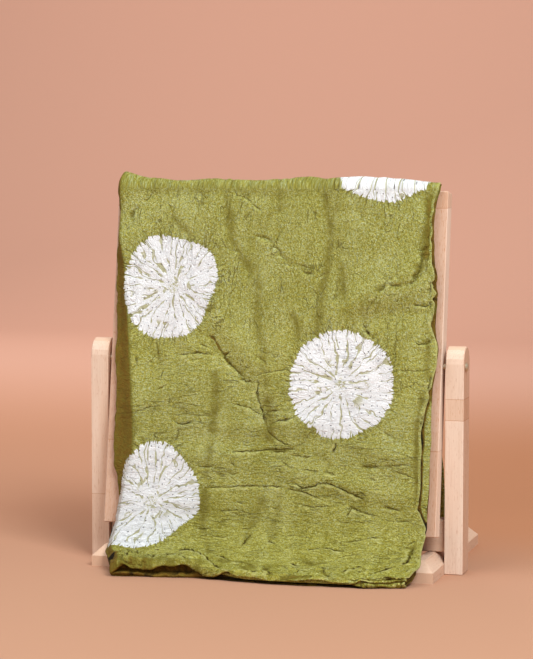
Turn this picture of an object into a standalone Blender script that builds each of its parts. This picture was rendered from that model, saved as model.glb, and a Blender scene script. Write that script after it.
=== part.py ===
"""A tie-dyed cloth, folded in four and draped over the tilting board of a small wooden stand.

Metres, +Z up, +Y to the back. The origin is on the floor, at the middle of the object's
bounding box. The cloth is one sheet: folded in half along its length, so that its fold is at
the left and its two selvedges at the right, then in half across, so that its second fold lies
on the floor in front. The four layers hang over the board's top edge.
"""
import math

import bmesh
import bpy
from mathutils import Matrix, Vector

# ---- Driving dimensions, metres and degrees ----
WIDTH = 0.370              # over the two posts
POST_WIDE = 0.0175
POST_DEEP = 0.028
POST_HIGH = 0.215
POST_CROWN = 0.016         # how far down a post's rounded top reaches
FOOT_WIDE = 0.028
FOOT_HIGH = 0.020
FOOT_CHAMFER = 0.010
FOOT_AHEAD = 0.0495        # in front of the posts
FOOT_BEHIND = 0.170        # measured from the posts' front faces
RAIL_TOP = 0.051
RAIL_DEEP = 0.016
BOARD_WIDE = 0.328
BOARD_LONG = 0.325
BOARD_THICK = 0.018
BOARD_TILT = 8.8           # degrees, its top leaning back
BOARD_FOOT_HIGH = 0.0389   # the front lower edge above the floor
PIVOT_DEEP = 0.009         # the bolts' axis, behind the posts' front faces
PIVOT_HIGH = 0.196
BOLT_RADIUS = 0.003
BOLT_REACH = 0.012         # into the board's edge
CAP_RADIUS = 0.0042
CAP_HIGH = 0.0022
CAP_PROFILE = ((0, 1), (0.6, 0.86), (1, 0.3), (1, 0))      # parts of its radius and height
FIT = 0.0003               # between pieces that touch
CUT_PAST = 0.001           # a bore's cutter past the wood
CROWN_STEPS = 10
ROUND_STEPS = 16           # bores and bolts
ARRIS = 0.0008             # the worn edge of the sawn wood
FRONT_REACH = 0.0972       # the cloth's foremost fold, in front of the posts
SHEET = 0.0010             # cloth thickness
LAYER = 0.0028             # from one layer's middle to the next
EDGE_CLEAR = 0.0022        # cloth to the board's edges
FACE_CLEAR = 0.0005        # cloth to the board's front face
BACK_HEM_HIGH = 0.026      # the back fall's hem above the floor, clear of the feet
LEAVE_HIGH = 0.056         # where the front fall leaves the board
FLOOR_RUN = 0.2            # guide line on the floor, more than the cloth needs
SAME_PLACE = 0.00001

# ---- Worked out from them ----
ORIGIN_Y = (FRONT_REACH - FOOT_BEHIND) / 2      # the posts' front faces, from the origin
POST_X = WIDTH / 2 - POST_WIDE / 2
INNER_X = WIDTH / 2 - POST_WIDE
TILT = math.radians(BOARD_TILT)
ALONG = Vector((0, math.sin(TILT), math.cos(TILT)))        # up the board
BEHIND = Vector((0, math.cos(TILT), -math.sin(TILT)))      # through the board, front to back
PIVOT = Vector((0, ORIGIN_Y + PIVOT_DEEP, PIVOT_HIGH))
# the board's front lower edge: its middle plane holds the bolts' axis
FOOT_TO_PIVOT = (PIVOT_HIGH - BOARD_FOOT_HIGH + BOARD_THICK / 2 * math.sin(TILT)) / math.cos(TILT)
BOARD_FOOT = PIVOT - ALONG * FOOT_TO_PIVOT - BEHIND * BOARD_THICK / 2
BOARD_HEAD = BOARD_FOOT + ALONG * BOARD_LONG               # the front upper edge

# ---- The cloth's outline down the front fall, millimetres: a row for each height ----
# down: below the board's top edge, along the cloth.  crease, fold: the left crease that stands
# proud, and the folded edge turned back from it.  right: the front layer's selvedge.
# stagger: how far the layers underneath show beyond it.
DOWN, CREASE, FOLD, RIGHT, STAGGER = range(5)
OUTLINE = (
    # down, crease, fold, right, stagger
    (-368, -146, -157, 158, 1),
    (-300, -146, -157, 156, 1),
    (-270, -146, -157, 151, 2),
    (-60, -150, -159, 148, 2),
    (-16, -153, -162, 149, 2),
    (-2, -152, -161, 154, 2),
    (30, -149, -158, 153, 2),
    (75, -147, -160, 155, 3),
    (110, -144, -159, 152, 4),
    (158, -141, -157, 157, 4),
    (205, -139, -155, 155, 7),
    (255, -138, -153, 151, 9),
    (300, -138, -148, 148, 9),
    (328, -138, -146, 147, 7),
    (345, -142, -151, 147, 6),
    (362, -141, -151, 146, 5),
    (385, -129, -138, 144, 4),
    (405, -123, -132, 143, 3),
)
# ---- Where the lower fold ends on the floor: across, and how far short of the foremost ----
LOWER_FOLD = ((-150, -3), (-125, -3), (-95, 3), (-50, 9), (0, 1), (50, 0), (115, 5), (150, 16))
# ---- Main folds: a row for each soft ridge (+) or trough (-), millimetres and degrees ----
# across, down: its middle.  run, wide: half length and half width.  turn: from level, left end
# to right, up positive.  rise: out of the cloth.  down is negative on the back fall.
FOLDS = (
    # across, down, run, wide, turn, rise
    (-158, 2, 11, 16, 35, 6.0),        # bunched corner, top left
    (-100, 0, 60, 16, 0, -2.4),        # sag of the top edge beside it
    (85, 0, 60, 18, 0, 1.2),
    (152, 2, 14, 16, -30, -3.0),
    (-148, 50, 22, 14, 50, 3.0),       # diagonal below the corner
    (20, 60, 70, 16, 78, 2.6),         # soft upright swells of the upper half
    (-35, 90, 80, 15, 84, -1.8),
    (62, 70, 60, 14, 96, -1.6),
    (95, 105, 55, 13, 18, 3.4),        # ridges gathered to the right edge
    (120, 118, 40, 11, 8, -2.2),
    (112, 84, 45, 12, 24, 2.0),
    (-50, 160, 45, 12, -48, -2.6),     # long slanting crease under the left circle
    (-30, 150, 45, 12, -48, 2.4),
    (-8, 214, 30, 10, -75, -2.0),
    (-100, 196, 50, 16, 20, 2.0),
    (20, 226, 60, 11, 6, 2.8),         # level creases of the lower half
    (-40, 240, 70, 10, 4, -2.6),
    (-30, 258, 75, 11, -2, 3.2),
    (50, 262, 70, 9, -10, -2.8),
    (75, 276, 70, 12, -10, 3.2),
    (110, 246, 45, 10, -14, 2.6),
    (100, 300, 50, 10, -12, -2.2),
    (-60, 300, 80, 13, 2, 2.4),
    (0, 330, 90, 14, -4, -2.4),
    (60, 352, 80, 13, 5, 3.0),
    (-90, 352, 50, 12, -12, -2.4),
    (-128, 335, 30, 14, 60, 4.0),      # the flare of the lower left corner
    (128, 350, 34, 12, 55, -2.6),      # diagonal over the right foot
    (110, 372, 50, 10, 18, 3.0),
    (-60, -120, 150, 26, 86, 4.0),     # hanging folds of the back fall
    (15, -150, 170, 24, 94, 3.2),
    (90, -130, 160, 28, 88, 4.4),
    (-115, -180, 140, 22, 92, 3.0),
    (55, -240, 120, 18, 90, -1.8),
)
CREASE_SWELL = 0.25        # the layers stand this much further apart under the left crease
CREASE_REACH = 16          # mm, to each side of it
FOLD_PINCH = 0.42          # this much closer at the folded edge
TOP_PRESS = 0.18           # and pressed together by their weight over the board's top edge
TOP_AT = -12               # mm, the middle of that stretch
TOP_REACH = 30
SETTLE = 70                # mm, over which the cloth comes to rest on the board's face
MM = 0.001


def mix(a, b, k):
    return a + (b - a) * k


def smooth(k):
    k = min(max(k, 0.0), 1.0)
    return k * k * (3 - 2 * k)


def read_table(rows, column, at):
    """The value of a table's column at a place, by straight lines between its rows."""
    if at <= rows[0][0]:
        return rows[0][column]
    for low, high in zip(rows, rows[1:]):
        if at <= high[0]:
            return mix(low[column], high[column], (at - low[0]) / (high[0] - low[0]))
    return rows[-1][column]


# ---- Wood ----
def add_object(name, mesh, material, collection):
    piece = bpy.data.objects.new(name, mesh)
    piece.data.materials.append(material)
    collection.objects.link(piece)
    return piece


def plain_material(name, colour, roughness, metallic=0.0):
    material = bpy.data.materials.new(name)
    material.use_nodes = True
    shader = material.node_tree.nodes["Principled BSDF"]
    shader.inputs["Base Color"].default_value = (*colour, 1)
    shader.inputs["Roughness"].default_value = roughness
    shader.inputs["Metallic"].default_value = metallic
    return material


def bevel(piece, width):
    step = piece.modifiers.new("Worn edges", "BEVEL")
    step.width = width
    step.segments = 1
    step.limit_method = "ANGLE"


def block_mesh(name, size, centre):
    """A box of this size, its middle at this place."""
    shape = bmesh.new()
    place = Matrix.Translation(centre) @ Matrix.Diagonal((*size, 1))
    bmesh.ops.create_cube(shape, size=1, matrix=place)
    mesh = bpy.data.meshes.new(name)
    shape.to_mesh(mesh)
    shape.free()
    return mesh


def outline_mesh(name, points, thickness):
    """A flat outline in its own X and Y, extruded to a plate about Z."""
    curve = bpy.data.curves.new(name, "CURVE")
    curve.dimensions = "2D"
    curve.fill_mode = "BOTH"
    curve.extrude = thickness / 2
    spline = curve.splines.new("POLY")
    spline.points.add(len(points) - 1)
    for place, (x, y) in zip(spline.points, points):
        place.co = (x, y, 0, 1)
    spline.use_cyclic_u = True
    guide = bpy.data.objects.new(name, curve)
    bpy.context.scene.collection.objects.link(guide)
    bpy.context.view_layer.update()
    graph = bpy.context.evaluated_depsgraph_get()
    mesh = bpy.data.meshes.new_from_object(guide.evaluated_get(graph))
    bpy.data.objects.remove(guide)
    shape = bmesh.new()
    shape.from_mesh(mesh)
    bmesh.ops.remove_doubles(shape, verts=shape.verts, dist=SAME_PLACE)
    shape.to_mesh(mesh)
    shape.free()
    return mesh


def stand_upright(mesh, x, y):
    """Turn a plate so that its X runs back, its Y up and its thickness across."""
    turn = Matrix(((0, 0, 1), (1, 0, 0), (0, 1, 0))).to_4x4()
    mesh.transform(Matrix.Translation((x, y, 0)) @ turn)


def cut_bore(piece, cutters, reach):
    """The bolt's clearance hole across a piece, about the pivot axis."""
    near, far = reach
    bpy.ops.mesh.primitive_cylinder_add(
        vertices=ROUND_STEPS, radius=BOLT_RADIUS + FIT, depth=far - near,
        location=((near + far) / 2, PIVOT.y, PIVOT.z), rotation=(0, math.pi / 2, 0))
    cutter = bpy.context.object
    cutter.name = "bore_" + piece.name
    cutter.hide_render = True
    cutter.display_type = "WIRE"
    for home in list(cutter.users_collection):
        home.objects.unlink(cutter)
    cutters.objects.link(cutter)
    step = piece.modifiers.new("Bolt hole", "BOOLEAN")
    step.operation = "DIFFERENCE"
    step.object = cutter


def add_post(side, name, wood, parts, cutters):
    """An upright, its top rounded from front to back."""
    half = POST_DEEP / 2
    crown = []
    for i in range(CROWN_STEPS + 1):
        angle = math.pi * i / CROWN_STEPS
        crown.append((half + half * math.cos(angle), POST_HIGH - POST_CROWN + POST_CROWN * math.sin(angle)))
    mesh = outline_mesh(name, [(0, 0), (POST_DEEP, 0)] + crown, POST_WIDE)
    stand_upright(mesh, side * POST_X, ORIGIN_Y)
    post = add_object(name, mesh, wood, parts)
    bevel(post, ARRIS)
    cut_bore(post, cutters, sorted((side * (INNER_X - CUT_PAST), side * (WIDTH / 2 + CUT_PAST))))


def add_foot(side, name, wood, parts):
    """A floor block inside the post, chamfered all round its top."""
    shape = bmesh.new()
    long = FOOT_AHEAD + FOOT_BEHIND
    centre = Vector((side * (INNER_X - FIT - FOOT_WIDE / 2),
                     ORIGIN_Y + (FOOT_BEHIND - FOOT_AHEAD) / 2, FOOT_HIGH / 2))
    bmesh.ops.create_cube(shape, size=1, matrix=Matrix.Diagonal((FOOT_WIDE, long, FOOT_HIGH, 1)))
    top = [edge for edge in shape.edges if all(point.co.z > 0 for point in edge.verts)]
    bmesh.ops.bevel(shape, geom=top, offset=FOOT_CHAMFER, segments=1, affect="EDGES")
    bmesh.ops.translate(shape, verts=shape.verts, vec=centre)
    mesh = bpy.data.meshes.new(name)
    shape.to_mesh(mesh)
    shape.free()
    add_object(name, mesh, wood, parts)


def add_rail(wood, parts):
    """The cross rail, standing on the feet between the posts."""
    low = FOOT_HIGH + FIT
    size = (2 * (INNER_X - FIT), RAIL_DEEP, RAIL_TOP - low)
    mesh = block_mesh("rail", size, (0, ORIGIN_Y + POST_DEEP / 2, (RAIL_TOP + low) / 2))
    rail = add_object("rail", mesh, wood, parts)
    bevel(rail, ARRIS)


def add_board(wood, parts, cutters):
    """The tilting board, hung on its two bolts."""
    mesh = block_mesh("board", (BOARD_WIDE, BOARD_THICK, BOARD_LONG), (0, 0, 0))
    middle = BOARD_FOOT + ALONG * BOARD_LONG / 2 + BEHIND * BOARD_THICK / 2
    mesh.transform(Matrix.Translation(middle) @ Matrix.Rotation(-TILT, 4, "X"))
    board = add_object("board", mesh, wood, parts)
    bevel(board, ARRIS)
    inner = BOARD_WIDE / 2 - BOLT_REACH - CUT_PAST
    cut_bore(board, cutters, (-WIDTH, -inner))
    board.modifiers[-1].object.name = "bore_board_left"
    cut_bore(board, cutters, (inner, WIDTH))


def add_bolt(side, name, metal, parts):
    """A pivot bolt: a low round cap outside the post and a shank into the board's edge."""
    shank_end = WIDTH / 2 + FIT - (BOARD_WIDE / 2 - BOLT_REACH)
    profile = [(out * CAP_RADIUS, high * CAP_HIGH) for out, high in CAP_PROFILE]
    profile += [(BOLT_RADIUS, 0), (BOLT_RADIUS, -shank_end), (0, -shank_end)]
    mesh = bpy.data.meshes.new(name)
    mesh.from_pydata([(x, 0, z) for x, z in profile], [(i, i + 1) for i in range(len(profile) - 1)], [])
    bolt = add_object(name, mesh, metal, parts)
    turn = bolt.modifiers.new("Turned", "SCREW")
    turn.steps = ROUND_STEPS
    turn.render_steps = ROUND_STEPS
    turn.use_merge_vertices = True
    turn.merge_threshold = SAME_PLACE
    bolt.location = (side * (WIDTH / 2 + FIT), PIVOT.y, PIVOT.z)
    bolt.rotation_euler = (0, side * math.pi / 2, 0)


# ---- Cloth ----
def guide_runs():
    """The line that the innermost layer follows round the board, seen from the right: from the
    back hem up, over the board's top, down and out on the floor. A row for each run: its name,
    length and turn in degrees. Also the line's start."""
    over = 90 - BOARD_TILT
    sweep = math.radians(over)
    back_corner = BOARD_HEAD + BEHIND * BOARD_THICK
    radius = (LEAVE_HIGH + EDGE_CLEAR * math.sin(TILT)) / (1 - math.cos(sweep))
    runs = (
        ("back", back_corner.z - BACK_HEM_HIGH, 0),
        ("back_corner", EDGE_CLEAR * sweep, over),
        ("board_top", BOARD_THICK, 0),
        ("front_corner", EDGE_CLEAR * math.pi / 2, 90),
        ("face", (BOARD_HEAD.z - LEAVE_HIGH) / math.cos(TILT), 0),
        ("bend", radius * sweep, -over),
        ("floor", FLOOR_RUN, 0),
    )
    return runs, Vector((back_corner.y + EDGE_CLEAR, BACK_HEM_HIGH))


RUNS, GUIDE_START = guide_runs()
STARTS = {run[0]: sum(length for _, length, _ in RUNS[:i]) for i, run in enumerate(RUNS)}
FACE_LONG = (STARTS["bend"] - STARTS["face"]) / MM


def guide(at):
    """Place and heading of the guide line at this length."""
    place = GUIDE_START.copy()
    heading = math.pi / 2
    for _, length, turn in RUNS:
        step = min(at, length)
        if turn:
            radius = length / math.radians(turn)
            after = heading + step / radius
            place += radius * Vector((math.sin(after) - math.sin(heading),
                                      math.cos(heading) - math.cos(after)))
            heading = after
        else:
            place += step * Vector((math.cos(heading), math.sin(heading)))
        at -= step
        if at <= 0:
            break
    return place, heading


def fold_rise(across, down):
    """How far the main folds lift the outermost layer here, in millimetres."""
    total = 0.0
    for x, d, run, wide, turn, rise in FOLDS:
        angle = math.radians(turn)
        dx = across - x
        dd = down - d
        p = (dx * math.cos(angle) - dd * math.sin(angle)) / run
        q = (dx * math.sin(angle) + dd * math.cos(angle)) / wide
        total += rise * math.exp(-p * p - q * q)
    return total


MID_LAYER = SHEET / 2 + 1.5 * LAYER    # middle of the whole bundle


def cloth_point(across, at, above):
    """A point of the bundle: across in millimetres, at along the guide, above it in metres."""
    down = (at - STARTS["face"]) / MM
    crease = read_table(OUTLINE, CREASE, down)
    fold = read_table(OUTLINE, FOLD, down)
    near = math.exp(-((across - crease) / CREASE_REACH) ** 2)
    past = smooth((crease - across) / (crease - fold))
    pressed = TOP_PRESS * math.exp(-((down - TOP_AT) / TOP_REACH) ** 2)
    spread = (1 + CREASE_SWELL * near * (1 - past) - FOLD_PINCH * past) * (1 - pressed)
    lift = (above - SHEET / 2) / (3 * LAYER)
    rise = fold_rise(across, down) * MM * lift
    # close to the board's face in the middle of it, clear of the edges
    settled = smooth(down / SETTLE) * smooth((FACE_LONG - down) / SETTLE)
    clear = (FACE_CLEAR - EDGE_CLEAR) * settled
    place, heading = guide(at)
    out = SHEET / 2 + (above - SHEET / 2) * spread + rise + clear
    side = heading - math.pi / 2
    return Vector((across * MM, place.x + math.cos(side) * out, place.y + math.sin(side) * out))


# u goes round the lengthwise fold, from the front selvedge to the one beneath it
U_SECTIONS = (("over", 22), ("strip", 2), ("turn", 3), ("under", 9))
# v goes round the crosswise fold, from the outer back hem to the inner one
V_SECTIONS = (("back", 6), ("top", 6), ("front", 24), ("bend", 8), ("turn", 5),
              ("bend_in", 5), ("front_in", 9), ("top_in", 6), ("back_in", 5))


def section_at(sections, index):
    """The section that a grid line lies in, and how far through it, from 0 to 1."""
    for name, count in sections:
        if index <= count:
            return name, index / count
        index -= count
    return sections[-1][0], 1.0


def along_guide(name, k, last):
    """Length along the guide of a row, for either run; last is where the lower fold starts."""
    ends = {"back": (0, STARTS["back_corner"]), "front": (STARTS["face"], STARTS["bend"]),
            "bend": (STARTS["bend"], last)}
    if name in ends:
        return mix(*ends[name], k)
    # the top: two segments round the back corner, one along the flat, three round the front corner
    back, flat, front, face = (STARTS[run] for run in ("back_corner", "board_top", "front_corner", "face"))
    stops = (back, mix(back, flat, 1 / 2), flat, front,
             mix(front, face, 1 / 3), mix(front, face, 2 / 3), face)
    return stops[round(k * (len(stops) - 1))]


def sheet_point(i, j):
    """Where the sheet's grid point goes: i round the lengthwise fold, j round the crosswise one."""
    u_name, u = section_at(U_SECTIONS, i)
    v_name, v = section_at(V_SECTIONS, j)
    # side: +1 on the sheet's outer half, -1 on its inner one, between them in the turn
    half_turn = {"over": 0.0, "strip": 0.0, "turn": math.pi * u, "under": math.pi}[u_name]
    side = math.cos(half_turn)
    inner_run = v_name.endswith("_in")
    run = v_name.replace("_in", "")
    k = 1 - v if inner_run else v
    # swing: a quarter turn up on the outer run, down on the inner one, between them in the turn
    swing = -math.pi / 2 if inner_run else math.pi / 2
    if run == "turn":
        swing -= math.pi * v
    reach = LAYER + side * LAYER / 2
    above = MID_LAYER + reach * math.sin(swing)
    # the outline's sides, read where the row lies
    row_at = STARTS["floor"] if run == "turn" else along_guide(run, k, STARTS["floor"])
    down = (row_at - STARTS["face"]) / MM
    crease, fold, right, stagger = (read_table(OUTLINE, column, down)
                                    for column in (CREASE, FOLD, RIGHT, STAGGER))
    right += stagger * (1 - (above - SHEET / 2) / (3 * LAYER))
    half_gap = LAYER / 2 / MM
    tuck = fold + half_gap
    across = {"over": mix(right, crease, u), "strip": mix(crease, tuck, u),
              "turn": tuck - half_gap * math.sin(half_turn), "under": mix(tuck, right, u)}[u_name]
    last = STARTS["floor"] - read_table(LOWER_FOLD, 1, across) * MM
    at = last + reach * math.cos(swing) if run == "turn" else along_guide(run, k, last)
    return cloth_point(across, at, above)


def add_cloth(fabric, parts):
    """A flat grid, folded twice and hung, then given its thickness."""
    columns = sum(count for _, count in U_SECTIONS)
    rows = sum(count for _, count in V_SECTIONS)
    shape = bmesh.new()
    bmesh.ops.create_grid(shape, x_segments=columns, y_segments=rows, size=0.5)
    for point in shape.verts:
        i = round((point.co.x + 0.5) * columns)
        j = round((point.co.y + 0.5) * rows)
        point.co = sheet_point(i, j)
    mesh = bpy.data.meshes.new("cloth")
    shape.to_mesh(mesh)
    shape.free()
    cloth = add_object("cloth", mesh, fabric, parts)
    cloth.data.shade_smooth()
    wall = cloth.modifiers.new("Sheet", "SOLIDIFY")
    wall.thickness = SHEET
    wall.offset = 0


def main():
    for item in list(bpy.data.objects):
        bpy.data.objects.remove(item)
    parts = bpy.data.collections.new("bandhani cloth on stand")
    cutters = bpy.data.collections.new("cutters")
    bpy.context.scene.collection.children.link(parts)
    bpy.context.scene.collection.children.link(cutters)
    wood = plain_material("Pale wood", (0.80, 0.56, 0.38), 0.6)
    fabric = plain_material("Green cloth", (0.37, 0.35, 0.09), 0.85)
    metal = plain_material("Bolt metal", (0.62, 0.52, 0.34), 0.35, 1.0)
    for side, end in ((-1, "left"), (1, "right")):
        add_post(side, "post_" + end, wood, parts, cutters)
        add_foot(side, "foot_" + end, wood, parts)
        add_bolt(side, "bolt_" + end, metal, parts)
    add_rail(wood, parts)
    add_board(wood, parts, cutters)
    add_cloth(fabric, parts)


main()
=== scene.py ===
"""A tie-dyed cloth, folded in four and draped over the tilting board of a small wooden stand.

Metres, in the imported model's frame: +Z up, +Y to the back, the origin on the floor. The stand's
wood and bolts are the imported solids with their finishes. The cloth is made here again, finer, on
the same folds as its solid: one sheet, folded in half along its length and in half across.
"""
import math

import bmesh
import bpy
import numpy as np
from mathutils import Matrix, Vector, noise


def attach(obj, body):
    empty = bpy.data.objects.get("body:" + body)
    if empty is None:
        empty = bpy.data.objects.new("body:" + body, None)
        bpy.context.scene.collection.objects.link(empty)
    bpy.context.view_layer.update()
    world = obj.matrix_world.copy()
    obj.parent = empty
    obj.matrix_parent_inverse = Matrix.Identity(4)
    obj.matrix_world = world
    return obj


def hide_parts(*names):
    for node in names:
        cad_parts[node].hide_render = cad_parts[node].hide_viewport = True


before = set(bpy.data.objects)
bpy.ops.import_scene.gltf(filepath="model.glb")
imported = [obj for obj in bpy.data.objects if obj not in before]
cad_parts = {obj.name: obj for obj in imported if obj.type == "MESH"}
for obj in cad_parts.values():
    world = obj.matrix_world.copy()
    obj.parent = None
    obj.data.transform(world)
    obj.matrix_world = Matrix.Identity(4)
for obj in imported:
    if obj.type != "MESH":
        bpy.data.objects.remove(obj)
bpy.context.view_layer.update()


# ---- Posts, feet, rail and board ----
# Pale close-grained wood, sanded and left bare, glued up from short lengths with finger joints.
# The posts stand on the floor, the feet lie inside them, the rail joins the two sides, and the
# board hangs between the posts.
MM = 0.001
WOOD_PALE = (230, 204, 184)
WOOD_WARM = (217, 181, 155)
# the flecks' colour, also used for the painted shade on the faces
WOOD_FLECK_AND_SHADE = (186, 132, 97)
WOOD_END = (212, 170, 140)


class Wire:
    """A value in a material. Arithmetic on it adds Math nodes, and node() adds any other node."""

    def __init__(self, tree, socket=None):
        self.tree = tree
        self.socket = socket

    def node(self, kind, settings=(), sockets=(), out=0):
        made = self.tree.nodes.new("ShaderNode" + kind)
        for name, value in dict(settings).items():
            setattr(made, name, value)
        for name, value in dict(sockets).items():
            if isinstance(value, Wire):
                self.tree.links.new(value.socket, made.inputs[name])
            else:
                made.inputs[name].default_value = value
        return Wire(self.tree, made.outputs[out])

    def math(self, operation, *others):
        return self.node("Math", {"operation": operation}, dict(enumerate((self, *others))))

    def __add__(self, other):
        return self.math("ADD", other)

    def __sub__(self, other):
        return self.math("SUBTRACT", other)

    def __mul__(self, other):
        return self.math("MULTIPLY", other)

    def __truediv__(self, other):
        return self.math("DIVIDE", other)

    def __rsub__(self, other):
        return self * -1 + other

    __radd__ = __add__
    __rmul__ = __mul__

    def away(self, middle):
        """Distance from a value, to either side."""
        return (self - middle).math("ABSOLUTE")

    def ease(self, low, high):
        """0 at low, 1 at high, smooth between them."""
        return self.node("MapRange", {"interpolation_type": "SMOOTHSTEP"},
                         {"Value": self, "From Min": low, "From Max": high})

    def parts(self):
        """The three parts of a vector."""
        split = self.node("SeparateXYZ", (), {0: self})
        return [Wire(self.tree, socket) for socket in split.socket.node.outputs]

    def vector(self, x, y, z=0.0):
        return self.node("CombineXYZ", (), {0: x, 1: y, 2: z})

    def scaled(self, by):
        return self.node("VectorMath", {"operation": "SCALE"}, {0: self, "Scale": by})

    def grain(self, scale, detail=2.0, rough=0.5, warp=0.0):
        """Noise about one half, read at this vector."""
        return self.node("TexNoise", (), {"Vector": self, "Scale": scale, "Detail": detail,
                                          "Roughness": rough, "Distortion": warp})

    def chance(self):
        """An even random number for each whole-numbered vector."""
        return self.node("TexWhiteNoise", (), {"Vector": self})

    def tint(self, first, second):
        """From the first colour to the second as this value goes from 0 to 1."""
        return self.node("Mix", {"data_type": "RGBA"}, {0: self, 6: first, 7: second}, out=2)

    def feed(self, shader, name):
        self.tree.links.new(self.socket, shader.inputs[name])


def colour(red, green, blue):
    """A colour given in the usual 0 to 255 steps, as the shader takes it."""
    steps = np.array((red, green, blue)) / 255
    linear = np.where(steps <= 0.04045, steps / 12.92, ((steps + 0.055) / 1.055) ** 2.4)
    return (*linear.tolist(), 1.0)


def new_finish(name, roughness):
    material = bpy.data.materials.new(name)
    material.use_nodes = True
    shader = material.node_tree.nodes["Principled BSDF"]
    shader.inputs["Roughness"].default_value = roughness
    return material, shader, Wire(material.node_tree)


def wood_finish(name, along_axis, tone, joints, front, sides):
    """Bare wood with its grain along one axis. tone: from 0, pale, to 1, warm. joints: where
    short lengths meet, in metres, and how much the tone changes there. front, sides: how much
    painted shade darkens the faces that look to the front and to the sides; below 0 they get a
    painted highlight instead."""
    material, shader, start = new_finish(name, 0.62)
    place = start.node("TexCoord", out="Object")
    axes = place.parts()
    along = axes.pop(along_axis)
    across, through = axes
    length, seam = 0.0, 0.0
    for joint, change in joints:
        past = along.math("GREATER_THAN", joint)
        length = length + past
        tone = tone + past * change
        seam = (along.away(joint) / MM).ease(0.55, 0.15).math("MAXIMUM", seam)
    shifted = length * 0.173
    rings = start.vector(across + shifted, through, along * 0.06).grain(55, 3.0, 0.55, 0.6)
    fibres = start.vector(across + shifted, through, along * 0.03).grain(900, 2.0, 0.6)
    flecks = start.vector(across, through + shifted, along * 0.14).grain(1300, 1.0, 0.5)
    tone = rings.ease(0.34, 0.66) * 0.5 + tone
    base = tone.tint(colour(*WOOD_PALE), colour(*WOOD_WARM))
    marks_and_shade = flecks.ease(0.60, 0.76) * 0.42 + fibres.ease(0.45, 0.75) * 0.22 + seam * 0.55
    # cut across the grain, the wood is darker and shows no fibres along it
    facing = start.node("NewGeometry", out="Normal").parts()
    end = facing[along_axis].away(0.0).ease(0.55, 0.85)
    rough_end = place.grain(700, 2.0, 0.6)
    end_tone = end * (0.55 + 0.35 * rough_end)
    # painted shade: the faces that look to the sides and to the front are darker; a number below 0 makes a
    # painted highlight
    marks_and_shade = marks_and_shade + facing[0].away(0.0).ease(0.5, 0.9) * sides
    marks_and_shade = marks_and_shade + facing[1].away(0.0).ease(0.5, 0.9) * front
    shade = marks_and_shade.tint(base, colour(*WOOD_FLECK_AND_SHADE))
    end_tone.tint(shade, colour(*WOOD_END)).feed(shader, "Base Color")
    height = fibres * 0.6 - flecks * 0.4 - seam * 1.5
    bump = start.node("Bump", (), {"Strength": 0.25, "Distance": 0.0004, "Height": height})
    bump.feed(shader, "Normal")
    return material


for node, axis, tone, joints, front, sides in (
        # node, grain along X 0, Y 1 or Z 2, tone, finger joints, painted shade on fronts, painted shade on
        # sides
        ("post_left", 2, 0.3, ((0.062, 0.15),), 0.0, 0.4),
        ("post_right", 2, -0.1, ((0.146, 0.9), (0.166, -0.6)), 0.0, 0.6),
        ("foot_left", 1, 0.7, ((-0.012, 0.3),), 0.3, 0.3),
        ("foot_right", 1, 0.7, ((0.055, 0.3),), 0.3, 0.3),
        ("rail", 0, 0.4, ((-0.095, 0.3), (0.06, -0.2)), 0.2, 0.0),
        ("board", 2, 0.1, ((0.118, -0.1), (0.344, 0.8)), 0.6, -0.2)):
    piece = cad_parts[node]
    finish = wood_finish("bare wood " + node.replace("_", " "), axis, tone, joints, front, sides)
    for slot in piece.material_slots:
        slot.material = finish


# ---- Pivot bolts ----
# A low round metal cap outside each post and a plain shank into the board's edge.
METAL_DULL = (226, 212, 188)
METAL_RUBBED = (196, 176, 146)

metal, shader, start = new_finish("dull bolt metal", 0.5)
rubbed = start.node("TexCoord", out="Object").grain(1400, 2.0, 0.6)
rubbed.tint(colour(*METAL_DULL), colour(*METAL_RUBBED)).feed(shader, "Base Color")
(0.42 + rubbed * 0.25).feed(shader, "Roughness")
shader.inputs["Metallic"].default_value = 1.0
for node in ("bolt_left", "bolt_right"):
    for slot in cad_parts[node].material_slots:
        slot.material = metal


# ---- Cloth: how it hangs ----
# One length of fine crinkled cloth, folded in four and hung over the board. The line that its
# innermost layer follows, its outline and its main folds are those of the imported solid, but six
# of the nearly level folds are 1.0 to 1.3 mm flatter here, and one at the top left is added.
ORIGIN_Y = -0.0364         # the posts' front faces
PIVOT_DEEP = 0.009
PIVOT_HIGH = 0.196
BOARD_LONG = 0.325
BOARD_THICK = 0.018
BOARD_TILT = 8.8
BOARD_FOOT_HIGH = 0.0389
SHEET = 0.0010
LAYER = 0.0028
EDGE_CLEAR = 0.0022
FACE_CLEAR = 0.0005
BACK_HEM_HIGH = 0.026
LEAVE_HIGH = 0.056
FLOOR_RUN = 0.2

TILT = math.radians(BOARD_TILT)
foot_to_pivot = (PIVOT_HIGH - BOARD_FOOT_HIGH + BOARD_THICK / 2 * math.sin(TILT)) / math.cos(TILT)
# the board's front upper edge and back upper edge, as (Y, Z)
up_board = np.array((math.sin(TILT), math.cos(TILT)))
through_board = np.array((math.cos(TILT), -math.sin(TILT)))
HEAD = (np.array((ORIGIN_Y + PIVOT_DEEP, PIVOT_HIGH)) - through_board * BOARD_THICK / 2
        + up_board * (BOARD_LONG - foot_to_pivot))
BACK_CORNER = HEAD + through_board * BOARD_THICK

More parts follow.
